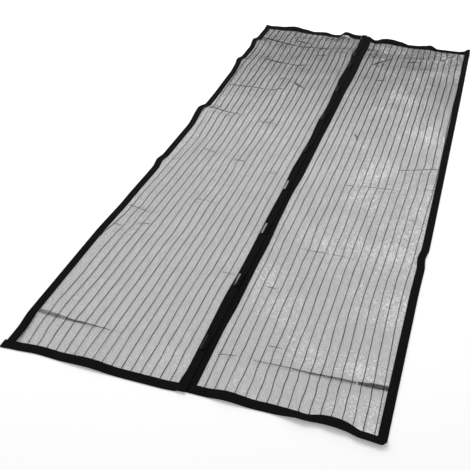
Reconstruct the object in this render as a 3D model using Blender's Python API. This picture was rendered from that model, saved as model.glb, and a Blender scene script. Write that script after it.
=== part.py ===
"""Magnetic insect screen for a doorway, laid out on a floor.

Two striped mesh panels lie side by side. Folded tape binds each panel all round.
The left panel's seam tape laps over the right one's, and bar magnets along both
seam tapes hold the screen shut. Metres, +X across, +Y from the bottom hem to the
top hem, +Z up, with the floor at z = 0.
"""

import math

import bmesh
import bpy
from mathutils import Vector

# The closed screen, laid flat.
SCREEN_WIDTH = 0.900
SCREEN_LENGTH = 2.100
SEAM_PLACE = 0.0065
SEAM_LAP = 0.010

# Mesh: one open wall, with a thicker yarn as a lengthwise stripe at every pitch.
MESH_THICKNESS = 0.0005
STRIPE_PITCH = 0.0238
STRIPE_WIDTH = 0.0020
STRIPE_HEIGHT = 0.0004
LEFT_FIRST_STRIPE = 0.0245
RIGHT_FIRST_STRIPE = 0.0150

# Openings through the mesh: a plain grid between the stripes, with bars across.
OPEN_LANES_TOGETHER = 3
CROSS_BARS = 6
CROSS_BAR_FIRST = 0.406
CROSS_BAR_PITCH = 0.281
CROSS_BAR_WIDTH = 0.010

# Binding tape, folded once round the edge of the mesh.
TAPE_THICKNESS = 0.0006
TAPE_FOLD = 0.0012
SIDE_TAPE_WIDTH = 0.021
HEM_TAPE_WIDTH = 0.024
LEFT_SEAM_TAPE_WIDTH = 0.024
RIGHT_SEAM_TAPE_WIDTH = 0.028
SEAM_STITCH_IN = 0.005
HEM_OVERHANG = 0.005
CORNER_CUT = 0.009
CLOTH_CLEARANCE = 0.0004
TAPE_CLEARANCE = 0.0003

# Bar magnets in pairs along the seam.
MAGNET_LENGTH = 0.048
MAGNET_WIDTH = 0.016
MAGNET_THICKNESS = 0.0028
MAGNET_EDGE = 0.0008
MAGNET_SLOPE = 0.0065
MAGNET_RIM = 0.0007
MAGNET_PITCH = 0.233
MAGNET_FIRST = 0.150
MAGNET_PAIRS = 8
TOP_MAGNET_DROP = 0.200
FOLDED_MAGNET_THICKNESS = 0.0015

# How the cloth lies. Edge lines are pairs of place along the edge and pull inwards.
LEFT_EDGE = (
    (-1.050, 0.0050),
    (-0.985, 0.0050),
    (-0.930, 0.0000),
    (-0.600, 0.0000),
    (-0.420, 0.0060),
    (-0.200, 0.0100),
    (0.300, 0.0130),
    (0.520, 0.0080),
    (0.600, 0.0010),
    (1.050, 0.0000),
)
RIGHT_EDGE = ((-1.050, 0.0050), (-0.600, 0.0040), (-0.350, 0.0000), (0.500, 0.0000), (1.050, 0.0020))
LEFT_BOTTOM_EDGE = ((-0.450, 0.0030), (-0.420, 0.0000), (-0.340, 0.0020), (-0.230, 0.0000))
RIGHT_BOTTOM_EDGE = (
    (0.000, 0.0060),
    (0.100, 0.0050),
    (0.260, 0.0100),
    (0.380, 0.0090),
    (0.420, 0.0040),
    (0.450, 0.0030),
)
LEFT_TOP_EDGE = ((-0.450, 0.0000), (-0.415, 0.0110), (0.020, 0.0110))
RIGHT_TOP_EDGE = ((0.016, 0.0110), (0.045, 0.0310), (0.400, 0.0310), (0.450, 0.0280))
EDGE_FADE = 0.300

# How far the seam tapes stray across, along the screen.
LEFT_SEAM_DRIFT = (
    (-1.050, -0.0015),
    (-0.920, 0.0000),
    (-0.640, 0.0015),
    (-0.360, 0.0015),
    (-0.080, -0.0015),
    (0.200, 0.0015),
    (0.480, 0.0010),
    (0.655, -0.0030),
    (0.760, 0.0000),
    (0.870, -0.0055),
    (0.955, -0.0010),
    (1.050, -0.0020),
)
RIGHT_SEAM_DRIFT = (
    (-1.050, -0.0035),
    (-0.900, -0.0045),
    (-0.640, -0.0015),
    (-0.360, -0.0045),
    (-0.080, 0.0000),
    (0.200, 0.0015),
    (0.480, 0.0020),
    (0.760, 0.0040),
    (1.050, 0.0035),
)

# How far the stripes stray across: place along the screen, then the first stripe
# from the seam, the middle stripe, and the last but one.
LEFT_GRAIN = (
    (-1.050, 0.0020, 0.0000, -0.0040),
    (-0.920, 0.0000, 0.0010, -0.0120),
    (-0.640, 0.0020, 0.0040, -0.0060),
    (-0.360, 0.0050, 0.0100, 0.0090),
    (-0.080, 0.0065, 0.0130, 0.0190),
    (0.200, 0.0090, 0.0120, 0.0070),
    (0.250, 0.0090, 0.0120, 0.0120),
    (0.480, 0.0070, 0.0060, 0.0000),
    (0.655, 0.0050, 0.0030, -0.0040),
    (0.870, -0.0050, -0.0030, -0.0100),
    (1.050, 0.0010, -0.0010, -0.0140),
)
RIGHT_GRAIN = (
    (-1.050, 0.0000, -0.0020, -0.0040),
    (-0.900, -0.0010, -0.0050, -0.0080),
    (-0.640, -0.0010, -0.0060, -0.0140),
    (-0.360, -0.0020, -0.0020, -0.0060),
    (-0.080, 0.0030, 0.0040, 0.0030),
    (0.200, 0.0045, 0.0065, 0.0060),
    (0.480, 0.0055, 0.0075, 0.0050),
    (0.760, 0.0090, 0.0090, 0.0090),
    (1.050, 0.0105, 0.0110, 0.0075),
)

# How the top hem waves: place across the screen and lift.
TOP_LIFT = (
    (-0.450, 0.0040),
    (-0.370, 0.0080),
    (-0.309, 0.0160),
    (-0.229, 0.0030),
    (-0.175, 0.0070),
    (-0.140, 0.0010),
    (-0.115, 0.0030),
    (-0.084, 0.0190),
    (-0.035, 0.0120),
    (0.016, 0.0120),
    (0.041, 0.0060),
    (0.092, 0.0200),
    (0.125, 0.0180),
    (0.185, 0.0040),
    (0.221, 0.0050),
    (0.282, 0.0140),
    (0.306, 0.0005),
    (0.400, 0.0010),
    (0.440, 0.0140),
    (0.450, 0.0150),
)
TOP_LIFT_REACH = 0.110

# Waves in the bottom hem: crest across the screen, height, and reach to either side.
BOTTOM_WAVES = ((-0.229, 0.006, 0.090, 0.070), (0.100, 0.007, 0.050, 0.070), (0.340, 0.010, 0.060, 0.060))
BOTTOM_WAVE_REACH = 0.100
BOTTOM_WAVE_TURN = 0.65

# Buckles in the left side: place, push outwards, lift, and reach before and after it.
LEFT_BUCKLES = (
    (0.200, 0.011, 0.006, 0.140, 0.040),
    (0.655, 0.008, 0.004, 0.060, 0.035),
    (0.870, 0.008, 0.006, 0.080, 0.035),
)
BUCKLE_REACH = 0.090

# One pleat of slack mesh lies across each panel near the bottom hem.
LEFT_PLEAT_PLACE = 0.125
RIGHT_PLEAT_PLACE = 0.143
LEFT_PLEAT_LENGTH = 0.200
RIGHT_PLEAT_LENGTH = 0.290
PLEAT_WIDTH = 0.014
PLEAT_HEIGHT = 0.0022

# Other places where the cloth bends.
LEFT_BENDS = (0.250, 0.655, 0.870)
TOP_BEND = 0.955

SEAM_LIFT = 2 * TAPE_THICKNESS + FOLDED_MAGNET_THICKNESS + 3 * TAPE_CLEARANCE


def along(points, place):
    """The value of a line of (place, value) points at a place."""
    if place <= points[0][0]:
        return points[0][1]
    for (start, low), (end, high) in zip(points, points[1:]):
        if place <= end:
            share = (place - start) / (end - start)
            return low + (high - low) * share * share * (3 - 2 * share)
    return points[-1][1]


def hump(distance, before, after):
    """1 on the crest and 0 from either reach on, with a smooth top and feet."""
    reach = before if distance < 0 else after
    if abs(distance) >= reach:
        return 0.0
    return math.cos(0.5 * math.pi * distance / reach) ** 2


def fade(distance, reach):
    """1 at no distance, falling smoothly to 0 at the reach."""
    return hump(max(distance, 0.0), reach, reach)


class Panel:
    """One mesh panel with its own bindings, from its outer side to the seam."""

    def __init__(self, name):
        self.name = name
        self.is_left = name == "left"
        self.inward = 1 if self.is_left else -1
        self.outer = -self.inward * SCREEN_WIDTH / 2
        self.seam = SEAM_PLACE + self.inward * SEAM_LAP / 2
        self.seam_tape_width = LEFT_SEAM_TAPE_WIDTH if self.is_left else RIGHT_SEAM_TAPE_WIDTH
        self.first_stripe = LEFT_FIRST_STRIPE if self.is_left else RIGHT_FIRST_STRIPE
        self.side_line = self.outer + self.inward * SIDE_TAPE_WIDTH
        self.seam_line = self.seam - self.inward * self.seam_tape_width
        self.stitch_line = self.seam_line + self.inward * SEAM_STITCH_IN
        self.edge = LEFT_EDGE if self.is_left else RIGHT_EDGE
        self.drift = LEFT_SEAM_DRIFT if self.is_left else RIGHT_SEAM_DRIFT
        self.grain = LEFT_GRAIN if self.is_left else RIGHT_GRAIN
        self.bottom_edge = LEFT_BOTTOM_EDGE if self.is_left else RIGHT_BOTTOM_EDGE
        self.top_edge = LEFT_TOP_EDGE if self.is_left else RIGHT_TOP_EDGE
        self.buckles = LEFT_BUCKLES if self.is_left else ()
        self.pleat = -SCREEN_LENGTH / 2 + (LEFT_PLEAT_PLACE if self.is_left else RIGHT_PLEAT_PLACE)
        self.pleat_length = LEFT_PLEAT_LENGTH if self.is_left else RIGHT_PLEAT_LENGTH
        self.columns = sorted(
            [self.outer, self.side_line, self.seam_line, self.stitch_line, self.seam] + self.stripes()
        )
        self.bars = self.cross_bars()
        self.rows = self.cloth_rows()
        self.nodes = {
            (column, row): self.rest(self.columns[column], self.rows[row])
            for column in range(len(self.columns))
            for row in range(len(self.rows))
        }

    def stripes(self):
        """Places of the stripes, counted from the seam tape to the side tape."""
        room = abs(self.seam_line - self.side_line) - self.first_stripe - STRIPE_WIDTH
        count = int(room / STRIPE_PITCH) + 1
        first = self.seam_line - self.inward * self.first_stripe
        return [first - self.inward * STRIPE_PITCH * step for step in range(count)]

    def open_lanes(self):
        """The lanes between two stripes where the mesh is cut through, from edge to edge."""
        lanes = []
        for number, pair in enumerate(zip(self.stripes(), self.stripes()[1:]), 1):
            if number % (OPEN_LANES_TOGETHER + 1):
                lanes.append((min(pair) + STRIPE_WIDTH / 2, max(pair) - STRIPE_WIDTH / 2))
        return lanes

    def cross_bars(self):
        """The bars across the openings: both hems, the pleat and the bars between."""
        bottom = -SCREEN_LENGTH / 2
        top = SCREEN_LENGTH / 2
        middles = [bottom + CROSS_BAR_FIRST + CROSS_BAR_PITCH * step for step in range(CROSS_BARS)]
        bars = [(place - CROSS_BAR_WIDTH / 2, place + CROSS_BAR_WIDTH / 2) for place in middles]
        bars += [(self.pleat - PLEAT_WIDTH / 2, self.pleat + PLEAT_WIDTH / 2)]
        return bars + [(bottom, bottom + HEM_TAPE_WIDTH), (top - HEM_TAPE_WIDTH, top)]

    def cloth_rows(self):
        """Places along the panel where its cloth may bend."""
        rows = {edge for bar in self.bars for edge in bar} | {self.pleat, TOP_BEND}
        return sorted(rows | set(LEFT_BENDS if self.is_left else ()))

    def shift(self, across, up):
        """How far a point of the cut panel lies from its own place across the screen."""
        stripes = self.stripes()
        edge = self.inward * along(self.edge, up)
        drift = along(self.drift, up)
        near, middle, far = (
            along([(row[0], row[kind]) for row in self.grain], up) for kind in (1, 2, 3)
        )
        shifts = [(self.outer, edge), (self.side_line, edge), (stripes[-2], far)]
        shifts += [(stripes[len(stripes) // 2 - 1], middle), (stripes[0], near)]
        shifts += [(self.seam_line, drift), (self.seam, drift)]
        for (start, low), (end, high) in zip(shifts, shifts[1:]):
            share = (across - start) / (end - start)
            if share <= 1:
                return low + (high - low) * share
        return drift

    def rest(self, across, up):
        """Where a point of the cut panel lies: x, y and how far its underside is lifted."""
        top = SCREEN_LENGTH / 2
        side = abs(across - self.outer)
        x = across + self.shift(across, up)
        y = up + along(self.bottom_edge, across) * fade(up + top, EDGE_FADE)
        y -= along(self.top_edge, across) * fade(top - up, EDGE_FADE)
        lift = along(TOP_LIFT, across) * fade(top - up, TOP_LIFT_REACH)
        turn = BOTTOM_WAVE_TURN + (1 - BOTTOM_WAVE_TURN) * min((up + top) / HEM_TAPE_WIDTH, 1)
        lift += turn * sum(
            height * hump(across - crest, before, after) for crest, height, before, after in BOTTOM_WAVES
        ) * fade(up + top - HEM_TAPE_WIDTH, BOTTOM_WAVE_REACH)
        for place, push, height, before, after in self.buckles:
            near = hump(up - place, before, after) * fade(side, BUCKLE_REACH)
            x -= self.inward * push * near
            lift += height * near
        beyond_tape = side - SIDE_TAPE_WIDTH - TAPE_FOLD
        if beyond_tape > 0:
            ridge = hump(up - self.pleat, PLEAT_WIDTH / 2, PLEAT_WIDTH / 2)
            lift += PLEAT_HEIGHT * ridge * max(1 - beyond_tape / self.pleat_length, 0)
        if self.is_left:
            lift += SEAM_LIFT * min(max((across - self.seam_line) / SEAM_STITCH_IN, 0), 1)
        return x, y, lift

    def drape(self, point):
        """Lays a point of the flat panel on the cloth, which is plane between its rows and stripes."""
        across, up, height = point
        column = cell(self.columns, across)
        row = cell(self.rows, up)
        a = (across - self.columns[column]) / (self.columns[column + 1] - self.columns[column])
        b = (up - self.rows[row]) / (self.rows[row + 1] - self.rows[row])
        start = self.nodes[column, row]
        end = self.nodes[column + 1, row + 1]
        if a >= b:
            corner = self.nodes[column + 1, row]
            place = [s + (c - s) * a + (e - c) * b for s, c, e in zip(start, corner, end)]
        else:
            corner = self.nodes[column, row + 1]
            place = [s + (c - s) * b + (e - c) * a for s, c, e in zip(start, corner, end)]
        return place[0], place[1], place[2] + height


def cell(lines, place):
    """The index of the line at or before a place, for all but the last line."""
    inside = [index for index, line in enumerate(lines[:-1]) if line <= place + 1e-9]
    return inside[-1] if inside else 0


def make_material(name, colour, roughness):
    material = bpy.data.materials.new(name)
    material.use_nodes = True
    shader = material.node_tree.nodes["Principled BSDF"]
    shader.inputs["Base Color"].default_value = (*colour, 1)
    shader.inputs["Roughness"].default_value = roughness
    shader.inputs["Metallic"].default_value = 0.0
    material.diffuse_color = (*colour, 1)
    return material


def add_object(name, bm, material, parent):
    """Turns a bmesh into a named object that hangs under the parent."""
    bmesh.ops.recalc_face_normals(bm, faces=bm.faces[:])
    if bm.calc_volume(signed=True) < 0:
        bmesh.ops.reverse_faces(bm, faces=bm.faces[:])
    mesh = bpy.data.meshes.new(name)
    bm.to_mesh(mesh)
    bm.free()
    mesh.materials.append(material)
    item = bpy.data.objects.new(name, mesh)
    bpy.context.collection.objects.link(item)
    item.parent = parent
    return item


def sweep(outside, inside, stations, place):
    """Draws the strip between two lines of section points through the stations.

    place(point, station) gives the flat spot of a section point at a station.
    """
    section = outside + inside[::-1]
    bm = bmesh.new()
    ring = [bm.verts.new(place(point, stations[0])) for point in section]
    edges = [bm.edges.new((one, two)) for one, two in zip(ring, ring[1:] + ring[:1])]
    close_end(bm, ring[: len(outside)], ring[len(outside) :][::-1])
    for station in stations[1:]:
        grown = bmesh.ops.extrude_edge_only(bm, edges=edges)["geom"]
        edges = [item for item in grown if isinstance(item, bmesh.types.BMEdge)]
        moved = {vert for edge in edges for vert in edge.verts}
        order = ordered_copy(ring, moved)
        for vert, point in zip(order, section):
            vert.co = place(point, station)
        ring = order
    close_end(bm, ring[: len(outside)], ring[len(outside) :][::-1])
    return bm


def close_end(bm, outside, inside):
    """Fills the strip between two lines of vertices with its shortest triangles."""
    one = 0
    two = 0
    while one + two < len(outside) + len(inside) - 2:
        steps = []
        if one + 1 < len(outside):
            steps.append(((outside[one + 1].co - inside[two].co).length, 0, outside[one + 1]))
        if two + 1 < len(inside):
            steps.append(((outside[one].co - inside[two + 1].co).length, 1, inside[two + 1]))
        _, on_inside, corner = min(steps, key=lambda step: step[:2])
        bm.faces.new((outside[one], corner, inside[two]))
        one += 1 - on_inside
        two += on_inside


def ordered_copy(ring, moved):
    """The new ring's vertices in the order of the ring that they were drawn from."""
    return [
        next(edge.other_vert(vert) for edge in vert.link_edges if edge.other_vert(vert) in moved)
        for vert in ring
    ]


def split_towards_far_right(bm):
    """Splits each flat quad from its near left corner, as the cloth's own cells are split."""

    def rank(vert):
        return vert.co.x + vert.co.y + vert.co.z

    for face in [face for face in bm.faces if len(face.verts) == 4]:
        near = min(face.verts, key=rank)
        far = max(face.verts, key=rank)
        if not any(near in edge.verts and far in edge.verts for edge in face.edges):
            bmesh.utils.face_split(face, near, far)
    bmesh.ops.triangulate(bm, faces=[face for face in bm.faces if len(face.verts) > 3])


def lay_down(bm, panel):
    """Splits a flat piece of the panel and lays it on the cloth."""
    split_towards_far_right(bm)
    for vert in bm.verts:
        vert.co = panel.drape(vert.co)


def tape_section(width, slot, bends=()):
    """A tape folded round a slot: its outer and inner lines, as distance from the fold and height.

    It can also bend at the places in bends.
    """
    outer_places = [width, *reversed(bends), 0.0]
    inner_places = [width, *reversed(bends), TAPE_FOLD]
    middle = TAPE_THICKNESS + slot
    top = middle + TAPE_THICKNESS
    outside = [(place, 0.0) for place in outer_places]
    outside += [(place, top) for place in reversed(outer_places)]
    inside = [(place, TAPE_THICKNESS) for place in inner_places]
    inside += [(place, middle) for place in reversed(inner_places)]
    return outside, inside


def mesh_slot():
    return MESH_THICKNESS + STRIPE_HEIGHT + 2 * CLOTH_CLEARANCE


def mesh_lines(panel):
    """The lower and upper points of the mesh across the panel, as place and height."""
    low = TAPE_THICKNESS + CLOTH_CLEARANCE
    high = low + MESH_THICKNESS
    half = STRIPE_WIDTH / 2
    outer = panel.outer + panel.inward * (TAPE_FOLD + CLOTH_CLEARANCE)
    plain = [outer, panel.side_line, panel.seam_line, panel.stitch_line]
    lane_edges = {edge for lane in panel.open_lanes() for edge in lane}
    below = set(plain) | lane_edges
    above = {(place, high) for place in plain}
    for stripe in panel.stripes():
        feet = (stripe - half, stripe + half)
        above |= {(feet[0], high), (stripe, high + STRIPE_HEIGHT), (feet[1], high)}
        if not lane_edges.issuperset(feet):
            below.add(stripe)
    return sorted((place, low) for place in below), sorted(above)


def make_mesh(panel, material, parent):
    """The open wall: bars with a low ridge along the stripes, and flat bars across."""
    hem = TAPE_FOLD + CLOTH_CLEARANCE
    rows = [panel.rows[0] + hem] + panel.rows[1:-1] + [panel.rows[-1] - hem]
    spans = list(zip(rows, rows[1:]))
    is_open = {
        (near, far): not any(start <= far - CLOTH_CLEARANCE < end for start, end in panel.bars)
        for near, far in spans
    }
    lanes = panel.open_lanes()
    bm = bmesh.new()
    sheets = []
    for line in mesh_lines(panel):
        verts = {}
        for place, height in line:
            for row in rows:
                is_cut = not panel.is_left and row == rows[0] and place == line[-1][0]
                verts[place, row] = bm.verts.new((place, row + CORNER_CUT * is_cut, height))
        places = [place for place, _ in line]
        for pair in zip(places, places[1:]):
            for near, far in spans:
                if not (pair in lanes and is_open[near, far]):
                    corners = ((pair[0], near), (pair[1], near), (pair[1], far), (pair[0], far))
                    bm.faces.new([verts[corner] for corner in corners])
        sheets.append((verts, places))
    (below, below_places), (above, above_places) = sheets

    def wall(one, two):
        bm.faces.new((below[one], below[two], above[two], above[one]))

    for near, far in spans:
        for place in (below_places[0], below_places[-1]):
            wall((place, near), (place, far))
        for start, end in lanes:
            if is_open[near, far]:
                wall((start, near), (start, far))
                wall((end, near), (end, far))
    for before, after in zip(spans, spans[1:]):
        for start, end in lanes:
            if is_open[before] != is_open[after]:
                wall((start, after[0]), (end, after[0]))
    for row in (rows[0], rows[-1]):
        lower = [below[place, row] for place in below_places]
        close_end(bm, lower, [above[place, row] for place in above_places])
    lay_down(bm, panel)
    return add_object(f"{panel.name}_mesh", bm, material, parent)


def make_long_tape(panel, kind, section, edge, inward, material, parent):
    """A tape along a side or along the seam, cut to meet the hem tapes."""
    stations = [panel.rows[1] + TAPE_CLEARANCE] + panel.rows[2:-2] + [panel.rows[-2] - TAPE_CLEARANCE]
    bm = sweep(
        *section,
        stations,
        lambda point, station: (edge + inward * point[0], station, point[1]),
    )
    lay_down(bm, panel)
    return add_object(f"{panel.name}_{kind}_binding", bm, material, parent)


def make_hem_tape(panel, kind, section, edge, inward, material, parent):
    """A tape along the top or bottom hem, over the ends of the mesh and the long tapes."""
    stations = list(panel.columns)
    if panel.is_left and kind == "bottom":
        stations[0] -= HEM_OVERHANG
    cut_corner = kind == "bottom" and not panel.is_left
    if cut_corner:
        stations.insert(-1, panel.outer - CORNER_CUT)

    def place(point, station):
        is_cut = cut_corner and station == panel.outer and point[0] < HEM_TAPE_WIDTH
        return station, edge + inward * (point[0] + CORNER_CUT * is_cut), point[1]

    bm = sweep(*section, stations, place)
    lay_down(bm, panel)
    return add_object(f"{panel.name}_{kind}_binding", bm, material, parent)


def magnet_rows():
    """Places of the magnet pairs along the seam."""
    bottom = -SCREEN_LENGTH / 2
    rows = [bottom + MAGNET_FIRST + MAGNET_PITCH * step for step in range(MAGNET_PAIRS)]
    top_row = SCREEN_LENGTH / 2 - TOP_MAGNET_DROP
    return [row for row in rows if row < top_row - MAGNET_LENGTH] + [top_row]


def magnet_bar(name, section, material, parent):
    """A bar of one section, given as place across and height, drawn along the seam."""
    bm = bmesh.new()
    near_end = bm.faces.new([bm.verts.new((place, -MAGNET_LENGTH / 2, height)) for place, height in section])
    grown = bmesh.ops.extrude_face_region(bm, geom=[near_end])["geom"]
    far_end = [item for item in grown if isinstance(item, bmesh.types.BMVert)]
    bmesh.ops.translate(bm, vec=(0, MAGNET_LENGTH, 0), verts=far_end)
    return add_object(name, bm, material, parent)


def lay_bar(bar, panel, across, row, level):
    """Lays a bar on the panel, in line with the tape there."""
    near = Vector(panel.drape((across, row - MAGNET_LENGTH / 2, level)))
    far = Vector(panel.drape((across, row + MAGNET_LENGTH / 2, level)))
    bar.location = (near + far) / 2
    bar.rotation_euler = (far - near).to_track_quat("Y", "Z").to_euler()


def make_magnets(left, right, material, parent):
    """Left bars lie on the left seam tape, right bars in the fold of the right one."""
    side = MAGNET_WIDTH / 2
    sloped = [(-side, 0.0), (side, 0.0), (side, MAGNET_THICKNESS - MAGNET_EDGE)]
    sloped += [(side - MAGNET_EDGE, MAGNET_THICKNESS), (MAGNET_SLOPE - side, MAGNET_THICKNESS)]
    sloped += [(-side, MAGNET_RIM)]
    flat = [(-side, 0.0), (side, 0.0), (side, FOLDED_MAGNET_THICKNESS), (-side, FOLDED_MAGNET_THICKNESS)]
    on_left = left.stitch_line + TAPE_CLEARANCE + side
    on_left_tape = 2 * TAPE_THICKNESS + mesh_slot() + TAPE_CLEARANCE
    in_right = right.seam + TAPE_FOLD + TAPE_CLEARANCE + side
    for number, row in enumerate(magnet_rows(), 1):
        bar = magnet_bar(f"left_magnet_{number}", sloped, material, parent)
        lay_bar(bar, left, on_left, row, on_left_tape)
        bar = magnet_bar(f"right_magnet_{number}", flat, material, parent)
        lay_bar(bar, right, in_right, row, TAPE_THICKNESS + TAPE_CLEARANCE)


def centre_on_floor(screen):
    """Moves the screen so that its extremes are equally far from the origin."""
    bpy.context.view_layer.update()
    points = [item.matrix_world @ vert.co for item in screen.children for vert in item.data.vertices]
    for axis in (0, 1):
        places = [point[axis] for point in points]
        screen.location[axis] = -(min(places) + max(places)) / 2


def main():
    for item in list(bpy.data.objects):
        bpy.data.objects.remove(item, do_unlink=True)
    screen = bpy.data.objects.new("screen", None)
    bpy.context.collection.objects.link(screen)
    mesh_cloth = make_material("mesh_cloth", (0.030, 0.030, 0.031), 0.75)
    tape_cloth = make_material("tape_cloth", (0.008, 0.008, 0.008), 0.85)
    magnet_black = make_material("magnet_black", (0.010, 0.010, 0.011), 0.22)
    left = Panel("left")
    right = Panel("right")
    side_section = tape_section(SIDE_TAPE_WIDTH, mesh_slot())
    hem_section = tape_section(HEM_TAPE_WIDTH, mesh_slot())
    seam_slots = {"left": mesh_slot(), "right": FOLDED_MAGNET_THICKNESS + 2 * TAPE_CLEARANCE}
    for panel in (left, right):
        make_mesh(panel, mesh_cloth, screen)
        make_long_tape(panel, "side", side_section, panel.outer, panel.inward, tape_cloth, screen)
        width = panel.seam_tape_width
        seam_section = tape_section(width, seam_slots[panel.name], (width - SEAM_STITCH_IN,))
        make_long_tape(panel, "seam", seam_section, panel.seam, -panel.inward, tape_cloth, screen)
        make_hem_tape(panel, "bottom", hem_section, -SCREEN_LENGTH / 2, 1, tape_cloth, screen)
        make_hem_tape(panel, "top", hem_section, SCREEN_LENGTH / 2, -1, tape_cloth, screen)
    make_magnets(left, right, magnet_black, screen)
    centre_on_floor(screen)


main()
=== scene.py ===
import math

import bmesh
import bpy
import numpy as np
from mathutils import Matrix, Vector


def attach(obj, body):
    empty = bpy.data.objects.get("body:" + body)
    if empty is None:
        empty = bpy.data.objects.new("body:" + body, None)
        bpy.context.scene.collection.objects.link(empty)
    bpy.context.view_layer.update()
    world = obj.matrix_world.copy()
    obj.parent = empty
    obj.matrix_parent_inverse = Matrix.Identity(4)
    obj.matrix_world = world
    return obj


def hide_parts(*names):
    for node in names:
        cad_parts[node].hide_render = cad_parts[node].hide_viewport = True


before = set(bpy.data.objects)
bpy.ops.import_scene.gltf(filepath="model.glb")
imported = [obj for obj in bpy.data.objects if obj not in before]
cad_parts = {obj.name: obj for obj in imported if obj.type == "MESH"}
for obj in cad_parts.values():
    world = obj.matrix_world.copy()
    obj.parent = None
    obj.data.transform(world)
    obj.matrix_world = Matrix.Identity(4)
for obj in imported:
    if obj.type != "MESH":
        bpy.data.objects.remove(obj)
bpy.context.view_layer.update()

# Camera, light and floor.
# The screen lies on a white studio floor under a large softbox, with soft light from
# all round and a low lamp at its far left. The camera stands at its right foot.

camera_data = bpy.data.cameras.new("camera")
camera_data.sensor_width = 36.0
camera_data.lens = 54.43
camera_data.shift_x = -0.03488
camera_data.shift_y = 0.00106
camera_data.clip_end = 60
camera = bpy.data.objects.new("camera", camera_data)
bpy.context.collection.objects.link(camera)
right_way = Vector((0.95016, 0.31177, 0.00214))
up_way = Vector((-0.19096, 0.57652, 0.79445))
back_way = right_way.cross(up_way)
turn = Matrix((right_way, up_way, back_way)).transposed().to_4x4()
camera.matrix_world = Matrix.Translation((0.46575, -1.97281, 1.20999)) @ turn
bpy.context.scene.camera = camera
bpy.context.scene.view_settings.view_transform = "Standard"


class Shade:
    """A socket of a material's nodes, on which sums can be written as they are read."""

    def __init__(self, tree, socket=None):
        self.tree = tree
        self.socket = socket

    def node(self, kind, inputs=None, output=0, **settings):
        """Adds a node, sets it, feeds its inputs and gives one of its outputs."""
        node = self.tree.nodes.new(kind)
        for name, value in settings.items():
            setattr(node, name, value)
        for name, value in (inputs or {}).items():
            if isinstance(value, Shade):
                self.tree.links.new(value.socket, node.inputs[name])
            else:
                node.inputs[name].default_value = value
        return Shade(self.tree, node.outputs[output])

    def sum(self, operation, first, second):
        return self.node("ShaderNodeMath", {0: first, 1: second}, operation=operation)

    def __add__(self, other):
        return self.sum("ADD", self, other)

    def __mul__(self, other):
        return self.sum("MULTIPLY", self, other)

    def __rsub__(self, other):
        return self.sum("SUBTRACT", other, self)

    def __lt__(self, other):
        return self.sum("LESS_THAN", self, other)

    def __gt__(self, other):
        return self.sum("GREATER_THAN", self, other)


def new_material(name, **values):
    """A Principled material with plain values; gives it with its nodes and shader."""
    material = bpy.data.materials.new(name)
    material.use_nodes = True
    shader = material.node_tree.nodes["Principled BSDF"]
    for socket, value in values.items():
        shader.inputs[socket.replace("_", " ")].default_value = value
    return material, Shade(material.node_tree), shader


def feed(shade, shader, socket):
    shade.tree.links.new(shade.socket, shader.inputs[socket])


world = bpy.data.worlds.new("studio")
world.use_nodes = True
world.node_tree.nodes["Background"].inputs["Color"].default_value = (1, 1, 1, 1)
world.node_tree.nodes["Background"].inputs["Strength"].default_value = 0.55
bpy.context.scene.world = world

softbox_data = bpy.data.lights.new("softbox", "AREA")
softbox_data.shape = "RECTANGLE"
softbox_data.size = 3.2
softbox_data.size_y = 2.4
softbox_data.energy = 75
softbox = bpy.data.objects.new("softbox", softbox_data)
bpy.context.collection.objects.link(softbox)
softbox.location = (-1.1, 1.2, 2.9)

low_lamp_data = bpy.data.lights.new("low_lamp", "AREA")
low_lamp_data.shape = "RECTANGLE"
low_lamp_data.size = 1.32
low_lamp_data.size_y = 0.3
low_lamp_data.energy = 7.5
low_lamp = bpy.data.objects.new("low_lamp", low_lamp_data)
bpy.context.collection.objects.link(low_lamp)
low_lamp.location = (-1.45, 1.74, 0.95)
low_lamp.rotation_euler = Vector((1, 0, 0)).to_track_quat("-Z", "Y").to_euler()

bm = bmesh.new()
bmesh.ops.create_grid(bm, x_segments=1, y_segments=1, size=9)
bmesh.ops.translate(bm, vec=(0, 0, -0.0004), verts=bm.verts[:])
floor_mesh = bpy.data.meshes.new("floor")
bm.to_mesh(floor_mesh)
bm.free()
floor = bpy.data.objects.new("floor", floor_mesh)
bpy.context.collection.objects.link(floor)
floor_paint, shade, shader = new_material("floor_paint", Roughness=0.9)
shader.inputs["Specular IOR Level"].default_value = 0.0
shader.inputs["Base Color"].default_value = (0.93, 0.93, 0.93, 1)
shader.inputs["Emission Color"].default_value = (1, 1, 1, 1)
seen = shade.node("ShaderNodeLightPath", output="Is Camera Ray")
feed(seen * 0.205, shader, "Emission Strength")
floor_mesh.materials.append(floor_paint)

# The net of each panel.
# Fine black polyester, woven open, with a thicker yarn lengthwise at every stripe. It
# lies a little slack between the bindings that are sewn round it, so it has creases.

HALF_WIDTH = 0.450
HALF_LENGTH = 1.050
SHIFT = 0.003824
SIDE_TAPE = 0.021
HEM_TAPE = 0.024
SEAM_STITCH_IN = 0.005
EDGE_FADE = 0.300
CORNER = 0.011
STRIPES = 17
STRIPE_PITCH = 0.0238
STRIPE_SIDE = 0.0012
SEAM_LIFT = 0.0036
TOP_REACH = 0.040
TENT_PLACE = -0.090
TENT_HALF_WIDTH = 0.045
TENT_REACH = 0.070
BOTTOM_REACH = 0.100
HEM_DIP = 0.35
BUCKLE_REACH = 0.090
TAUT_EDGE = 0.030
RIPPLE_RISE = 0.0004
RIPPLE_BASE = 2.2
RIPPLES = ((31, 11), (-17, 37), (9, -53), (47, 29), (-61, 17))
BROAD_STRAY = 0.0011
FINE_STRAY = 0.0007
CREASE_END = 0.020
CREASE_FAR_SIDE = 0.6
KINK = 0.8
KINK_SLOPE = 0.012
KINK_REACH = 0.022

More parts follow.
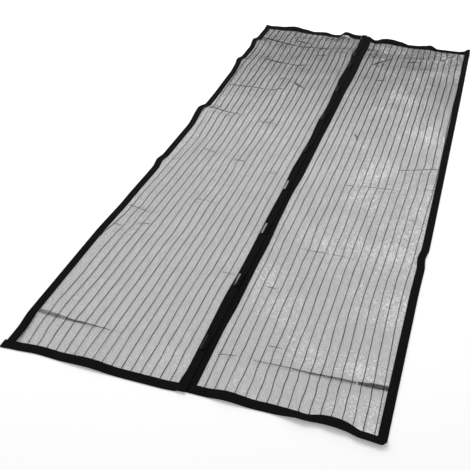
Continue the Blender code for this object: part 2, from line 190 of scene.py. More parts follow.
# The places across, and how high the top hem stands or the bottom hem curls up there.
TOP_LIFT = (
    (-0.450, 0.0040),
    (-0.373, 0.0080),
    (-0.309, 0.0160),
    (-0.265, 0.0090),
    (-0.229, 0.0030),
    (-0.175, 0.0070),
    (-0.140, 0.0010),
    (-0.115, 0.0020),
    (-0.084, 0.0200),
    (-0.040, 0.0120),
    (0.018, 0.0120),
    (0.041, 0.0060),
    (0.077, 0.0180),
    (0.095, 0.0200),
    (0.113, 0.0190),
    (0.149, 0.0136),
    (0.185, 0.0040),
    (0.221, 0.0050),
    (0.257, 0.0096),
    (0.278, 0.0140),
    (0.310, 0.0006),
    (0.365, 0.0010),
    (0.401, 0.0015),
    (0.419, 0.0050),
    (0.440, 0.0150),
)
BOTTOM_CURL = (
    (0.200, 0.0000),
    (0.275, 0.0100),
    (0.315, 0.0035),
    (0.360, 0.0035),
    (0.400, 0.0085),
    (0.450, 0.0080),
)

# The place across of a crest, its rise and how far it reaches to the left and right.
BOTTOM_WAVES = (
    (-0.229, 0.006, 0.090, 0.070),
    (0.100, 0.007, 0.050, 0.070),
    (0.340, 0.010, 0.060, 0.060),
)


def along(points, places):
    """The value of a line of (place, value) points at each place, eased between points."""
    starts, values = np.array(points).T
    step = np.clip(np.searchsorted(starts, places, side="right") - 1, 0, len(starts) - 2)
    share = np.clip((places - starts[step]) / (starts[step + 1] - starts[step]), 0, 1)
    return values[step] + (values[step + 1] - values[step]) * share**2 * (3 - 2 * share)


def hump(distance, before, after):
    """1 on the crest and 0 from either reach on."""
    reach = np.where(distance < 0, before, after)
    return np.cos(0.5 * math.pi * np.clip(distance / reach, -1, 1)) ** 2


def fade(distance, reach):
    """1 at no distance and 0 from the reach on."""
    return hump(np.maximum(distance, 0), reach, reach)


def wave(across, up, radians, phase=0):
    """A wave over the cloth, with so many radians to the metre across and along it."""
    return np.sin(across * radians[0] + up * radians[1] + phase)


class Panel:
    """How one panel lies: its cut, its edges, its buckles and its creases."""

    def __init__(self, side, seam, seam_tape, first_stripe, phase, **lists):
        self.side = side
        self.outer = side * HALF_WIDTH
        self.seam = seam
        self.seam_tape = seam_tape
        self.seam_line = seam + side * seam_tape
        self.stitch_line = self.seam_line - side * SEAM_STITCH_IN
        self.side_line = self.outer - side * SIDE_TAPE
        offs = [first_stripe + STRIPE_PITCH * step for step in range(STRIPES)]
        self.stripes = [self.seam_line + side * off for off in offs]
        self.phase = phase
        self.edge = lists["edge"]
        self.fold_drift = lists["fold_drift"]
        self.tape_drift = lists["tape_drift"]
        self.grain = lists["grain"]
        self.buckles = lists["buckles"]
        self.bottom = lists["bottom"]
        self.top = lists["top"]
        self.creases = lists["creases"]

    def shift(self, across, up):
        """How far the cloth strays across, led by its side, some of its stripes and its seam."""
        edge = -self.side * along(self.edge, up)
        for place, push, rise, before, after in self.buckles:
            edge = edge + self.side * push * hump(up - place, before, after)
        places, *strays = np.array(self.grain).T
        near, middle, outer, far = (along(np.stack((places, stray), axis=1), up) for stray in strays)
        fold = np.interp(up, *np.array(self.fold_drift).T)
        leads = [(self.outer, edge), (self.side_line, edge)]
        leads += [(self.stripes[16] + self.side * STRIPE_SIDE, far), (self.stripes[15], far)]
        leads += [(self.stripes[11], outer), (self.stripes[7], middle), (self.stripes[0], near)]
        leads += [(self.seam_line, along(self.tape_drift, up)), (self.seam, fold)]
        shift = edge
        for (start, low), (end, high) in zip(leads[1:], leads[2:]):
            share = np.clip((across - start) / (end - start), 0, 1)
            shift = np.where(share > 0, low + (high - low) * share, shift)
        return shift

    def pull(self, across, up):
        """How far the hems pull the cloth along the panel, and the rounding of a cut corner."""
        pull = along(self.bottom, across) * fade(up + HALF_LENGTH, EDGE_FADE)
        pull -= along(self.top, across) * fade(HALF_LENGTH - up, EDGE_FADE)
        if self.side > 0:
            beyond = np.clip(across - self.outer + CORNER, 0, CORNER)
            low = np.clip((HEM_TAPE - HALF_LENGTH - up) / HEM_TAPE, 0, 1)
            pull += (CORNER - np.sqrt(CORNER**2 - beyond**2)) * low
        return pull

    def flat(self, x, y):
        """The place of the cut panel that lies at x, y."""
        across, up = x, y
        for _ in range(4):
            across, up = x - self.shift(across, up), y - self.pull(across, up)
        return across, up

    def lay(self, points):
        """Lays points of the cut panel, given as across, up and height over the cloth's back."""
        across, up, height = points.T
        side = np.abs(across - self.outer)
        from_side = np.maximum(side - SIDE_TAPE, 0)
        from_seam = np.maximum(np.abs(across - self.seam) - self.seam_tape, 0)
        x = across + self.shift(across, up)
        y = up + self.pull(across, up)
        reach = TOP_REACH + TENT_REACH * hump(across - TENT_PLACE, TENT_HALF_WIDTH, TENT_HALF_WIDTH)
        lift = along(TOP_LIFT, across) * fade(HALF_LENGTH - up, reach)
        for crest, rise, before, after in BOTTOM_WAVES:
            turn_up = 1 - HEM_DIP * np.clip(1 - (up + HALF_LENGTH) / HEM_TAPE, 0, 1)
            crest_lift = rise * hump(across - crest, before, after)
            lift += crest_lift * turn_up * fade(up + HALF_LENGTH - HEM_TAPE, BOTTOM_REACH)
        lift += along(BOTTOM_CURL, across) * np.clip((HEM_TAPE - HALF_LENGTH - up) / HEM_TAPE, 0, 1)
        for place, push, rise, before, after in self.buckles:
            lift += rise * hump(up - place, before, after) * fade(side, BUCKLE_REACH)
        if self.side < 0:
            lift += SEAM_LIFT * np.clip((across - self.seam_line) / SEAM_STITCH_IN, 0, 1)
        inside = np.minimum(from_side, from_seam)
        inside = np.minimum(inside, np.maximum(HALF_LENGTH - HEM_TAPE - np.abs(up), 0))
        loose = 1 - fade(inside, TAUT_EDGE)
        ripple = sum(wave(x, y, radians, self.phase * step) for step, radians in enumerate(RIPPLES))
        lift += RIPPLE_RISE * loose * (ripple + RIPPLE_BASE)
        x += BROAD_STRAY * loose * wave(across, up, (90, 57), self.phase) * wave(across, up, (-41, 23))
        x += FINE_STRAY * loose * wave(across, up, (37, -131), self.phase * 2)
        for start, end, rise, reach in self.creases:
            length = math.dist(start, end)
            way = ((end[0] - start[0]) / length, (end[1] - start[1]) / length)
            run = (x - start[0]) * way[0] + (y - start[1]) * way[1]
            off = (y - start[1]) * way[0] - (x - start[0]) * way[1]
            ends = np.clip(np.minimum(run, length - run) / CREASE_END + 0.5, 0, 1)
            lift += rise * ends * hump(off, reach, reach * CREASE_FAR_SIDE) * np.minimum(loose * 2, 1)
            kink = (off / KINK_SLOPE) * np.exp(-((off / KINK_REACH) ** 2))
            x = x + rise * KINK * ends * loose * kink
        return np.stack((x + SHIFT, y, lift + height), axis=1)


# The places along each panel, and how far its side, its seam, the line beside its seam
# tape and its stripes stray there. A grain row has four stripes, from the seam outwards.
LEFT_EDGE = (
    (-1.050, 0.0030),
    (-0.985, 0.0030),
    (-0.930, -0.0025),
    (-0.600, -0.0025),
    (-0.420, 0.0035),
    (-0.200, 0.0075),
    (0.300, 0.0105),
    (0.520, 0.0055),
    (0.600, -0.0015),
    (1.050, -0.0025),
)
RIGHT_EDGE = (
    (-1.050, 0.0012),
    (-0.600, 0.0004),
    (-0.350, -0.0038),
    (0.500, -0.0038),
    (1.050, -0.0020),
)
LEFT_FOLD_DRIFT = (
    (-1.050, -0.0015),
    (-0.920, 0.0000),
    (-0.640, 0.0015),
    (-0.360, 0.0015),
    (-0.080, -0.0015),
    (0.200, 0.0015),
    (0.480, 0.0010),
    (0.655, -0.0030),
    (0.760, 0.0000),
    (0.870, -0.0055),
    (0.955, -0.0010),
    (1.050, -0.0020),
)
RIGHT_FOLD_DRIFT = (
    (-1.050, -0.0035),
    (-0.900, -0.0045),
    (-0.640, -0.0015),
    (-0.360, -0.0045),
    (-0.080, 0.0000),
    (0.200, 0.0015),
    (0.480, 0.0020),
    (0.760, 0.0040),
    (1.050, 0.0035),
)
LEFT_TAPE_DRIFT = (
    (-1.050, -0.0020),
    (-1.015, -0.0010),
    (-0.985, 0.0020),
    (-0.880, 0.0010),
    (-0.740, -0.0010),
    (-0.600, 0.0025),
    (-0.350, 0.0010),
    (-0.250, 0.0020),
    (-0.100, -0.0015),
    (0.010, 0.0015),
    (0.100, 0.0040),
    (0.240, 0.0000),
    (0.345, 0.0040),
    (0.520, -0.0005),
    (0.610, -0.0040),
    (0.700, -0.0005),
    (0.780, 0.0000),
    (0.860, -0.0065),
    (0.940, -0.0005),
    (0.975, -0.0020),
)
RIGHT_TAPE_DRIFT = (
    (-1.020, -0.0035),
    (-0.850, -0.0045),
    (-0.740, -0.0010),
    (-0.600, -0.0020),
    (-0.495, -0.0005),
    (-0.350, -0.0040),
    (-0.250, -0.0050),
    (-0.100, 0.0005),
    (0.100, 0.0000),
    (0.300, 0.0015),
    (0.500, 0.0015),
    (0.600, 0.0045),
    (0.700, 0.0055),
    (0.800, 0.0035),
    (0.870, 0.0030),
    (0.950, 0.0055),
    (1.000, 0.0030),
)
LEFT_GRAIN = (
    (-1.050, 0.0025, 0.0030, 0.0025, 0.0000),
    (-0.916, 0.0020, 0.0030, -0.0025, -0.0095),
    (-0.748, 0.0005, 0.0055, 0.0030, -0.0050),
    (-0.600, 0.0040, 0.0075, 0.0050, -0.0015),
    (-0.500, 0.0050, 0.0105, 0.0095, 0.0055),
    (-0.412, 0.0055, 0.0105, 0.0090, 0.0080),
    (-0.244, 0.0050, 0.0145, 0.0145, 0.0140),
    (-0.076, 0.0070, 0.0110, 0.0160, 0.0200),
    (0.008, 0.0080, 0.0125, 0.0180, 0.0220),
    (0.092, 0.0090, 0.0135, 0.0145, 0.0155),
    (0.180, 0.0095, 0.0130, 0.0120, 0.0100),
    (0.260, 0.0095, 0.0125, 0.0130, 0.0130),
    (0.344, 0.0100, 0.0105, 0.0090, 0.0065),
    (0.512, 0.0075, 0.0065, 0.0040, 0.0010),
    (0.596, 0.0080, 0.0055, 0.0030, -0.0040),
    (0.680, 0.0060, 0.0040, 0.0010, -0.0010),
    (0.764, 0.0050, 0.0025, -0.0005, -0.0010),
    (0.848, -0.0040, 0.0010, -0.0025, -0.0060),
    (0.932, 0.0015, 0.0000, -0.0040, -0.0120),
    (1.050, 0.0015, 0.0010, -0.0025, -0.0100),
)
RIGHT_GRAIN = (
    (-1.000, -0.0005, -0.0010, -0.0030, -0.0045),
    (-0.916, -0.0015, -0.0030, -0.0050, -0.0065),
    (-0.832, -0.0015, -0.0035, -0.0065, -0.0095),
    (-0.664, -0.0015, -0.0040, -0.0095, -0.0145),
    (-0.580, 0.0005, -0.0040, -0.0090, -0.0140),
    (-0.412, -0.0025, -0.0015, -0.0045, -0.0075),
    (-0.244, -0.0005, 0.0010, -0.0010, -0.0035),
    (-0.076, 0.0025, 0.0045, 0.0040, 0.0035),
    (0.090, 0.0045, 0.0060, 0.0060, 0.0065),
    (0.176, 0.0045, 0.0065, 0.0065, 0.0065),
    (0.344, 0.0050, 0.0080, 0.0060, 0.0040),
    (0.512, 0.0065, 0.0080, 0.0070, 0.0065),
    (0.680, 0.0085, 0.0095, 0.0095, 0.0095),
    (0.848, 0.0085, 0.0095, 0.0090, 0.0085),
    (0.932, 0.0105, 0.0110, 0.0090, 0.0075),
)

# The place along of a buckle in the side, its push outwards, its rise and its reaches.
LEFT_BUCKLES = (
    (-0.175, 0.006, 0.002, 0.050, 0.030),
    (0.200, 0.011, 0.006, 0.140, 0.040),
    (0.655, 0.008, 0.004, 0.060, 0.035),
    (0.870, 0.008, 0.006, 0.080, 0.035),
)
RIGHT_BUCKLES = ((-0.425, -0.005, 0.002, 0.045, 0.045),)

# The places across each panel, and how far its bottom and top hems are pulled inwards.
LEFT_BOTTOM = (
    (-0.450, -0.0075),
    (-0.420, -0.0055),
    (-0.355, -0.0010),
    (-0.285, -0.0035),
    (-0.140, -0.0050),
    (-0.060, -0.0045),
    (0.020, -0.0010),
)
RIGHT_BOTTOM = (
    (0.000, 0.0030),
    (0.145, 0.0040),
    (0.203, 0.0055),
    (0.257, 0.0045),
    (0.275, 0.0030),
    (0.311, 0.0075),
    (0.340, 0.0055),
    (0.365, 0.0045),
    (0.401, -0.0035),
    (0.450, -0.0065),
)
LEFT_TOP = ((-0.450, 0.0000), (-0.415, 0.0110), (0.020, 0.0110))
RIGHT_TOP = ((0.016, 0.0110), (0.045, 0.0310), (0.400, 0.0310), (0.450, 0.0280))

# The start and the end of each crease on the floor, its rise and its reach.
LEFT_CREASES = (
    ((-0.432, 0.909), (-0.254, 0.853), 0.004, 0.008),
    ((-0.254, 0.853), (-0.019, 0.892), 0.004, 0.008),
    ((-0.416, 0.207), (-0.280, 0.188), 0.005, 0.009),
    ((-0.353, 0.690), (-0.228, 0.665), 0.004, 0.008),
    ((-0.228, 0.665), (-0.175, 0.681), 0.003, 0.008),
    ((-0.410, 0.420), (-0.243, 0.417), 0.004, 0.008),
    ((-0.243, 0.417), (-0.207, 0.445), 0.003, 0.008),
    ((-0.280, 0.916), (-0.200, 0.900), 0.002, 0.007),
    ((-0.165, 0.796), (-0.097, 0.804), 0.002, 0.007),
    ((-0.248, 0.535), (-0.196, 0.537), 0.002, 0.007),
    ((-0.170, 0.508), (-0.123, 0.472), 0.002, 0.007),
    ((-0.211, 0.172), (-0.133, 0.168), 0.002, 0.007),
    ((-0.326, -0.068), (-0.271, -0.081), 0.002, 0.007),
    ((-0.216, -0.095), (-0.170, -0.107), 0.002, 0.007),
    ((-0.262, -0.353), (-0.161, -0.357), 0.003, 0.007),
    ((-0.418, -0.440), (-0.336, -0.464), 0.003, 0.008),
    ((-0.358, -0.520), (-0.312, -0.511), 0.002, 0.007),
    ((-0.420, -0.537), (-0.390, -0.546), 0.002, 0.007),
    ((-0.078, -0.141), (-0.046, -0.143), 0.002, 0.006),
    ((-0.050, -0.645), (-0.018, -0.643), 0.002, 0.006),
)
RIGHT_CREASES = (
    ((0.037, 0.927), (0.095, 0.909), 0.003, 0.008),
    ((0.252, 0.885), (0.346, 0.893), 0.004, 0.008),
    ((0.346, 0.893), (0.403, 0.979), 0.004, 0.008),
    ((0.084, 0.775), (0.110, 0.807), 0.003, 0.008),
    ((0.110, 0.807), (0.152, 0.854), 0.003, 0.008),
    ((0.215, 0.838), (0.252, 0.859), 0.002, 0.007),
    ((0.273, 0.796), (0.325, 0.801), 0.002, 0.007),
    ((0.377, 0.864), (0.424, 0.880), 0.002, 0.007),
    ((0.131, 0.637), (0.163, 0.642), 0.002, 0.007),
    ((0.132, 0.186), (0.151, 0.149), 0.002, 0.007),
    ((0.307, -0.007), (0.432, 0.042), 0.005, 0.009),
    ((0.174, -0.136), (0.330, -0.120), 0.003, 0.008),
    ((0.399, -0.085), (0.436, -0.078), 0.002, 0.007),
    ((0.390, -0.260), (0.438, -0.262), 0.002, 0.007),
    ((0.128, -0.487), (0.266, -0.487), 0.003, 0.007),
    ((0.077, -0.665), (0.105, -0.665), 0.002, 0.007),
    ((0.142, -0.861), (0.174, -0.861), 0.002, 0.007),
    ((0.040, -0.922), (0.082, -0.915), 0.002, 0.006),
)
left = Panel(
    side=-1,
    seam=0.0115,
    seam_tape=0.024,
    first_stripe=0.0245,
    phase=1.7,
    edge=LEFT_EDGE,
    fold_drift=LEFT_FOLD_DRIFT,
    tape_drift=LEFT_TAPE_DRIFT,
    grain=LEFT_GRAIN,
    buckles=LEFT_BUCKLES,
    bottom=LEFT_BOTTOM,
    top=LEFT_TOP,
    creases=LEFT_CREASES,
)
right = Panel(
    side=1,
    seam=0.0015,
    seam_tape=0.028,
    first_stripe=0.0150,
    phase=4.1,
    edge=RIGHT_EDGE,
    fold_drift=RIGHT_FOLD_DRIFT,
    tape_drift=RIGHT_TAPE_DRIFT,
    grain=RIGHT_GRAIN,
    buckles=RIGHT_BUCKLES,
    bottom=RIGHT_BOTTOM,
    top=RIGHT_TOP,
    creases=RIGHT_CREASES,
)
panels = {"left": left, "right": right}

NET_LOW = 0.0010
NET_EDGE_IN = 0.0016
THREAD = 0.00025
THREAD_PITCH = 0.0016
WEFT_LOW = NET_LOW + THREAD * 0.8
CLOSING = 0.27
CLOSING_START = 0.15
CLOSING_RUN = 0.5
CROSS_STEP = 0.026
FOLD_STEP = 0.012
FOLD_LEAST = 0.004
PLEAT_AND_SHADE_LAYER = 0.0006
# Threads over the creases, standing both for each crease's fold and for painted shade along it.
CREASE_LAYER = 0.0002
CREASE_SPACING = 0.00034
CREASE_WIDTH = 0.0018
CREASE_WIDENING = 0.0062
CREASE_WIDENS_FROM = -0.3
YARN_WIDTH = 0.0017
YARN_THICKNESS = 0.0007
YARN_CORNER = 0.0003
YARN_SPREAD = 0.95
YARN_SPREAD_START = -0.1
YARN_SPREAD_RUN = 0.8
TUCK = 0.0135
TUCK_START = -0.5
TUCK_RUN = 0.12

# The places along the net at which its lengthwise threads have a point.
WARP_ROWS = (-1.026, -1.0, -0.97, -0.935, -0.925, -0.915, -0.88, -0.82, -0.76, -0.70, -0.64)
WARP_ROWS += (-0.58, -0.53, -0.48, -0.43, -0.37, -0.31, -0.25, -0.20, -0.16, -0.12, -0.06, 0.0)
WARP_ROWS += (0.06, 0.12, 0.17, 0.205, 0.24, 0.30, 0.36, 0.42, 0.48, 0.54, 0.60, 0.65, 0.69)
WARP_ROWS += (0.74, 0.80, 0.85, 0.89, 0.93, 0.965, 1.0, 1.026)

# Beside the left side tape extra threads darken the net between these places across, on these rows.
CROWDED = (-0.4285, -0.4140)
CROWDED_ROWS = (-1.024, -1.0, -0.97, -0.934)

# Beside the right side tape the last lane of the net is pulled wide, up to this place. Its
# threads are set close and drawn narrow on the flat cut, to lie as the others do.
WIDE_LANE_END = 0.1
WIDE_LANE_PITCH = 0.00031
WIDE_LANE_NARROW = 0.2


def draw_strips(starts, section, steps, along_x, is_closed=True):
    """Strips of one section, all drawn through the same stations, on the flat cut.

    The section is sideways and upwards from each start.
    """
    bm = bmesh.new()
    edges = []
    for start in starts:
        ring = []
        for sideways, upwards in section:
            flat = (steps[0], start + sideways) if along_x else (start + sideways, steps[0])
            ring.append(bm.verts.new((*flat, upwards)))
        edges += [bm.edges.new(pair) for pair in zip(ring, ring[1:] + ring[:is_closed])]
    for last, step in zip(steps, steps[1:]):
        grown = bmesh.ops.extrude_edge_only(bm, edges=edges)["geom"]
        edges = [item for item in grown if isinstance(item, bmesh.types.BMEdge)]
        move = (step - last, 0, 0) if along_x else (0, step - last, 0)
        verts = [item for item in grown if isinstance(item, bmesh.types.BMVert)]
        bmesh.ops.translate(bm, vec=move, verts=verts)
    bmesh.ops.recalc_face_normals(bm, faces=bm.faces[:])
    return bm


def joined(parts):
    """One bmesh with the faces of several."""
    bm = parts[0]
    for part in parts[1:]:
        mesh = bpy.data.meshes.new("part")
        part.to_mesh(mesh)
        part.free()
        bm.from_mesh(mesh)
        bpy.data.meshes.remove(mesh)
    return bm


def lay_piece(name, bm, panel, material):
    """Makes the flat piece an object, laid as its panel lies, with its finish."""
    mesh = bpy.data.meshes.new(name)
    bm.to_mesh(mesh)
    bm.free()
    places = np.empty(len(mesh.vertices) * 3)
    mesh.vertices.foreach_get("co", places)
    mesh.vertices.foreach_set("co", panel.lay(places.reshape(-1, 3)).ravel())
    mesh.update()
    mesh.materials.append(material)
    piece = bpy.data.objects.new(name, mesh)
    bpy.context.collection.objects.link(piece)
    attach(piece, "root")
    return piece


def pitched(low, high, pitch):
    """Places about a pitch apart, half a pitch in from low and high."""
    count = int((high - low) / pitch)
    return [low + (high - low) * (step + 0.5) / count for step in range(count)]


def closing_up(low, high, pitch):
    """Places that lie closer together towards the far hem, where the net is slack."""
    places = [low]
    while places[-1] < high - pitch:
        share = min(max((places[-1] - CLOSING_START) / CLOSING_RUN, 0), 1)
        places.append(places[-1] + pitch * (1 - CLOSING * share))
    return places[1:]


def rounded(width, thickness, corner, low, count):
    """A flat closed section with round corners, lowest at low."""
    points = []
    for side, height, start in ((1, 0, -90), (1, 1, 0), (-1, 1, 90), (-1, 0, 180)):
        for step in range(count):
            angle = math.radians(start + 90 * step / max(count - 1, 1))
            sideways = side * (width / 2 - corner) + corner * math.cos(angle)
            upwards = low + corner + height * (thickness - 2 * corner) + corner * math.sin(angle)
            points.append((sideways, upwards))
    return points


def blend(shade, factor, low, high):
    """A colour between two colours, of which the first may be a shade."""
    first = low if isinstance(low, Shade) else (*low, 1)
    inputs = {0: factor, 6: first, 7: (*high, 1)}
    return shade.node("ShaderNodeMix", inputs, output=2, data_type="RGBA")


net_thread, shade, shader = new_material("net_thread", Roughness=0.6)
shader.inputs["Specular IOR Level"].default_value = 0.2
place = shade.node("ShaderNodeTexCoord", output="Object")
blotch = shade.node("ShaderNodeTexNoise", {"Vector": place, "Scale": 60.0, "Detail": 3.0})
fibre = shade.node("ShaderNodeTexNoise", {"Vector": place, "Scale": 2600.0, "Detail": 2.0})
glint_speck = shade.node("ShaderNodeTexNoise", {"Vector": place, "Scale": 210.0, "Detail": 1.0})
glint_field = shade.node("ShaderNodeTexNoise", {"Vector": place, "Scale": 6.0, "Detail": 2.0})
across = shade.node("ShaderNodeSeparateXYZ", {"Vector": place}, output="X")
up = shade.node("ShaderNodeSeparateXYZ", {"Vector": place}, output="Y")
# Painted highlight: pale specks painted into the threads' colour in place of light glinting on them, more
# of them towards the right.
painted_glint = shade.node(
    "ShaderNodeMapRange",
    {"Value": glint_speck + glint_field * 0.5 + across * 0.22, "From Min": 0.92, "From Max": 0.97},
)
# No painted highlight on the band of the pleats near the bottom hem.
no_pleat = 1 - (up > -0.935) * (up < -0.892)
dark = blend(shade, blotch * 0.6 + fibre * 0.4, (0.016, 0.016, 0.017), (0.042, 0.042, 0.044))
feed(blend(shade, painted_glint * no_pleat, dark, (0.85, 0.85, 0.86)), shader, "Base Color")
feed(fibre * 0.3 + 0.45, shader, "Roughness")

stripe_yarn, shade, shader = new_material("stripe_yarn", Roughness=0.7)
shader.inputs["Specular IOR Level"].default_value = 0.2
place = shade.node("ShaderNodeTexCoord", output="Object")
ply = shade.node(
    "ShaderNodeTexWave",
    {"Vector": place, "Scale": 260.0, "Distortion": 1.5, "Detail": 1.0},
    output="Fac",
    bands_direction="DIAGONAL",
)
feed(blend(shade, ply, (0.006, 0.006, 0.006), (0.022, 0.022, 0.023)), shader, "Base Color")
feed(shade.node("ShaderNodeBump", {"Height": ply, "Distance": 0.0003}), shader, "Normal")

ridge = ((-THREAD / 2, 0.0), (0.0, THREAD), (THREAD / 2, 0.0))


def draw_threads(starts, steps, along_x, low, narrow=1):
    """Threads of the net, each a small ridge without an underside."""
    section = [(side * narrow, low + high) for side, high in ridge]
    return draw_strips(starts, section, steps, along_x, is_closed=False)


def fold_and_shade_threads(panel, start, end, widths, low, spacing):
    """Threads that lie close along a line of the net, from x, y to x, y, on the flat cut.

    The line is as wide as widths says at its start and at its end. They draw the pleats, the painted shade
    under the tent in the top hem, and the creases with painted shade on them.
    """
    length = math.dist(start, end)
    count = int(max(widths) / spacing) + 1
    strips = []
    for number in range(count):
        off = (number + 0.5) / count - 0.5
        reach = [max(widths) * abs(off) * 2 - width for width in widths]
        near = length * max(reach[0], 0) / max(widths)
        far = length - length * max(reach[1], 0) / max(widths)
        if far - near > FOLD_LEAST:
            steps = list(np.linspace(near, far, int((far - near) / FOLD_STEP) + 2))
            strips.append(draw_threads([off * max(widths)], steps, True, low))
    bm = joined(strips)
    angle = math.atan2(end[1] - start[1], end[0] - start[0])
    turn = Matrix.Translation((*start, 0)) @ Matrix.Rotation(angle, 4, "Z")
    bmesh.ops.transform(bm, matrix=turn, verts=bm.verts[:])
    for vert in bm.verts:
        vert.co.x, vert.co.y = panel.flat(vert.co.x, vert.co.y)
    return bm


# Start, end, width at the start and at the end, layers and spacing. The last two rows on
# the left are no pleats but painted shade: threads that darken the net under the top hem's tent.
PLEATS_AND_SHADES = {
    "left": (
        ((-0.430, -0.9215), (-0.354, -0.926), 0.013, 0.009, 2, 0.0014),
        ((-0.354, -0.926), (-0.198, -0.9295), 0.009, 0.0, 2, 0.0011),
        # Painted shade: close threads that darken the net under the tent in the top hem.
        ((-0.130, 0.985), (-0.088, 0.985), 0.0, 0.070, 1, 0.0017),
        ((-0.088, 0.985), (-0.045, 0.985), 0.070, 0.0, 1, 0.0017),
    ),
    "right": (
        ((0.120, -0.9135), (0.359, -0.9065), 0.001, 0.006, 2, 0.0006),
        ((0.3615, -0.9065), (0.432, -0.900), 0.008, 0.014, 2, 0.0009),
    ),
}
for name, panel in panels.items():
    ends = sorted((panel.outer - panel.side * NET_EDGE_IN, panel.stitch_line))
    length = HALF_LENGTH - NET_EDGE_IN
    rows = [-length, *WARP_ROWS, length]
    warps = pitched(*ends, THREAD_PITCH)
    if name == "left":
        extra = [warp + THREAD_PITCH / 2 for warp in warps if CROWDED[0] < warp < CROWDED[1]]
        extra_rows = CROWDED_ROWS
        narrow = 1
    else:
        lane = panel.stripes[-1] + STRIPE_SIDE
        warps = [warp for warp in warps if not lane < warp < panel.side_line]
        extra = pitched(lane, panel.side_line, WIDE_LANE_PITCH)
        extra_rows = [row for row in rows if row < WIDE_LANE_END]
        narrow = WIDE_LANE_NARROW
    layers = [draw_threads(warps, rows, False, NET_LOW)]
    layers.append(draw_threads(extra, extra_rows, False, NET_LOW, narrow))
    crests = [place for place, rise in TOP_LIFT if ends[0] < place < ends[1]]
    steps = [ends[0]]
    for place in (*crests, ends[1]):
        count = math.ceil((place - steps[-1]) / CROSS_STEP)
        steps += [steps[-1] + (place - steps[-1]) * (step + 1) / count for step in range(count)]
    wefts = closing_up(-length, length, THREAD_PITCH)
    layers.append(draw_threads(wefts, steps, True, WEFT_LOW))
    for start, end, near_width, far_width, count, spacing in PLEATS_AND_SHADES[name]:
        for layer in range(1, count + 1):
            low = NET_LOW + layer * PLEAT_AND_SHADE_LAYER
            layers.append(fold_and_shade_threads(panel, start, end, (near_width, far_width), low, spacing))
    # Close threads over each crease: the net doubled over at its fold, and painted shade along it as well,
    # widening towards the far hem.
    for start, end, rise, reach in panel.creases:
        share = min(max(start[1] - CREASE_WIDENS_FROM, 0), 1)
        width = CREASE_WIDTH + CREASE_WIDENING * share
        low = NET_LOW + CREASE_LAYER
        layers.append(fold_and_shade_threads(panel, start, end, (width, width * 0.6), low, CREASE_SPACING))
    lay_piece(f"{name}_net", joined(layers), panel, net_thread)
    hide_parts(f"{name}_mesh")
    section = rounded(YARN_WIDTH, YARN_THICKNESS, YARN_CORNER, NET_LOW, 2)
    yarns = draw_strips(panel.stripes, section, rows, along_x=False)
    for vert in yarns.verts:
        middle = min(panel.stripes, key=lambda stripe: abs(stripe - vert.co.x))
        share = min(max(vert.co.y - YARN_SPREAD_START, 0), YARN_SPREAD_RUN)
        vert.co.x += (vert.co.x - middle) * YARN_SPREAD * share
        if middle == panel.stripes[-1] and name == "left":
            vert.co.x -= TUCK * min(max(TUCK_START - vert.co.y, 0) / TUCK_RUN, 1)
    lay_piece(f"{name}_stripes", yarns, panel, stripe_yarn)

# The bindings.
# Black polyester tape, woven close, folded once round each edge of the net and sewn
# through with a straight seam near its inner edge. The hems go on last.

TAPE = 0.0006
SLOT = 0.0017
SEAM_SLOT = 0.0021
FOLD = 0.0012
FOLD_STEPS = 8
FOLD_BEND = 0.006
LIP_BEND = 0.005
LIP_ROUND = 0.0001
HEM_GAP = 0.0002
TAB = 0.0045
LONG_STEPS = 110
HEM_STEPS = 60


def tape_section(width, slot):
    """A tape folded round a slot, with its fold at 0 and rounded."""
    outer = []
    inner = []
    for step in range(FOLD_STEPS + 1):
        angle = math.radians(90 + 180 * step / FOLD_STEPS)
        outer.append((FOLD * (1 + math.cos(angle)), (TAPE + slot / 2) * (1 + math.sin(angle))))
        inner.append((FOLD * (1 + 0.5 * math.cos(angle)), TAPE + slot / 2 * (1 + math.sin(angle))))
    lower = [(width, 0.0), (width + LIP_ROUND, TAPE / 2), (width, TAPE)]
    upper = [(across, slot + TAPE + high) for across, high in lower]
    bends = [width - LIP_BEND, width * 0.5, FOLD_BEND]
    section = [(bend, 2 * TAPE + slot) for bend in bends] + outer
    section += [(bend, 0.0) for bend in reversed(bends)] + lower
    section += [(bend, TAPE) for bend in bends] + inner[::-1]
    section += [(bend, slot + TAPE) for bend in reversed(bends)] + upper
    return section


tape_cloth, shade, shader = new_material("tape_cloth", Roughness=0.8)
shader.inputs["Specular IOR Level"].default_value = 0.02
place = shade.node("ShaderNodeTexCoord", output="Object")
yarn = {"Vector": place, "Scale": 900.0, "Distortion": 0.4}
cross = shade.node("ShaderNodeTexWave", yarn, output="Fac", bands_direction="X")
rib = shade.node("ShaderNodeTexWave", yarn, output="Fac", bands_direction="Y")
dust = {"Vector": place, "Scale": 45.0, "Detail": 5.0, "Roughness": 0.6}
lint = shade.node("ShaderNodeTexNoise", dust)
weave = cross * rib
cloth = blend(shade, weave * 0.5 + lint * 0.5, (0.0045, 0.0045, 0.0045), (0.0125, 0.0125, 0.0128))
feed(cloth, shader, "Base Color")
feed(lint * 0.2 + 0.7, shader, "Roughness")
feed(shade.node("ShaderNodeBump", {"Height": weave, "Distance": 0.0002, "Strength": 0.6}), shader, "Normal")


def closed_strip(start, section, steps, along_x):
    """One strip with both ends closed."""
    bm = draw_strips([start], section, steps, along_x)
    ends = [edge for edge in bm.edges if edge.is_boundary]
    bmesh.ops.holes_fill(bm, edges=ends, sides=0)
    bmesh.ops.triangulate(bm, faces=[face for face in bm.faces if len(face.verts) > 4])
    bmesh.ops.recalc_face_normals(bm, faces=bm.faces[:])
    return bm


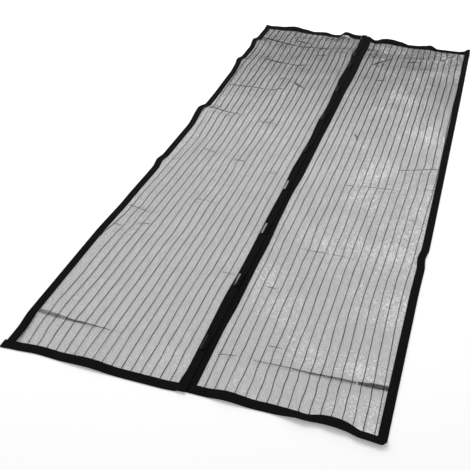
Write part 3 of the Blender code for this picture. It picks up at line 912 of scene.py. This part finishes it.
for name, panel in panels.items():
    inward = -panel.side
    seam_slot = SEAM_SLOT if name == "right" else SLOT
    spans = {
        "side": (panel.outer, SIDE_TAPE, SLOT, inward),
        "seam": (panel.seam, panel.seam_tape, seam_slot, -inward),
    }
    length = HALF_LENGTH - HEM_TAPE - HEM_GAP
    for kind, (start, width, slot, way) in spans.items():
        section = [(way * side, high) for side, high in tape_section(width, slot)]
        steps = list(np.linspace(-length, length, LONG_STEPS))
        bm = closed_strip(start, section, steps, along_x=False)
        lay_piece(f"{name}_{kind}_tape", bm, panel, tape_cloth)
    for kind, way in (("bottom", 1), ("top", -1)):
        section = [(way * side, high) for side, high in tape_section(HEM_TAPE, SLOT)]
        first = panel.outer - (TAB if (name, kind) == ("left", "bottom") else 0)
        steps = list(np.linspace(first, panel.seam, HEM_STEPS))
        bm = closed_strip(-way * HALF_LENGTH, section, steps, along_x=True)
        lay_piece(f"{name}_{kind}_tape", bm, panel, tape_cloth)
    for kind in ("side", "seam", "bottom", "top"):
        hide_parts(f"{name}_{kind}_binding")

# The bar magnets.
# Black bonded magnet bars with smooth faces. The left panel's lie along its seam
# binding, and the right panel's in the fold of its own.

MAGNET_PAIRS = 9

magnet_black, shade, shader = new_material("magnet_black", Roughness=0.6)
shader.inputs["Specular IOR Level"].default_value = 0.02
shader.inputs["Coat Roughness"].default_value = 0.10
shader.inputs["Coat IOR"].default_value = 1.6
place = shade.node("ShaderNodeTexCoord", output="Object")
scuff = shade.node("ShaderNodeTexNoise", {"Vector": place, "Scale": 220.0, "Detail": 4.0})
feed(blend(shade, scuff, (0.004, 0.004, 0.004), (0.009, 0.009, 0.0093)), shader, "Base Color")
feed(scuff * 0.2 + 0.7, shader, "Roughness")
facing = shade.node("ShaderNodeNewGeometry", output="Normal")
sideways = shade.node("ShaderNodeSeparateXYZ", {"Vector": facing}, output="X")
feed((sideways < -0.15) * (0.55 - scuff * 0.3), shader, "Coat Weight")
for number in range(1, MAGNET_PAIRS + 1):
    for name in ("left", "right"):
        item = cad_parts[f"{name}_magnet_{number}"]
        item.data.materials.clear()
        item.data.materials.append(magnet_black)

# The sheets of cloth.
# The nets lie in the bindings that are sewn round them, and the tapes are folded once
# over the edges of the nets, so a tape is cut twice as wide as it shows.

LONG_TAPE = 2.05

for name, panel in panels.items():
    for kind in ("side", "seam", "bottom", "top"):
        width = {"side": SIDE_TAPE, "seam": panel.seam_tape}.get(kind, HEM_TAPE) * 2
        length = LONG_TAPE if kind in ("side", "seam") else abs(panel.outer - panel.seam)
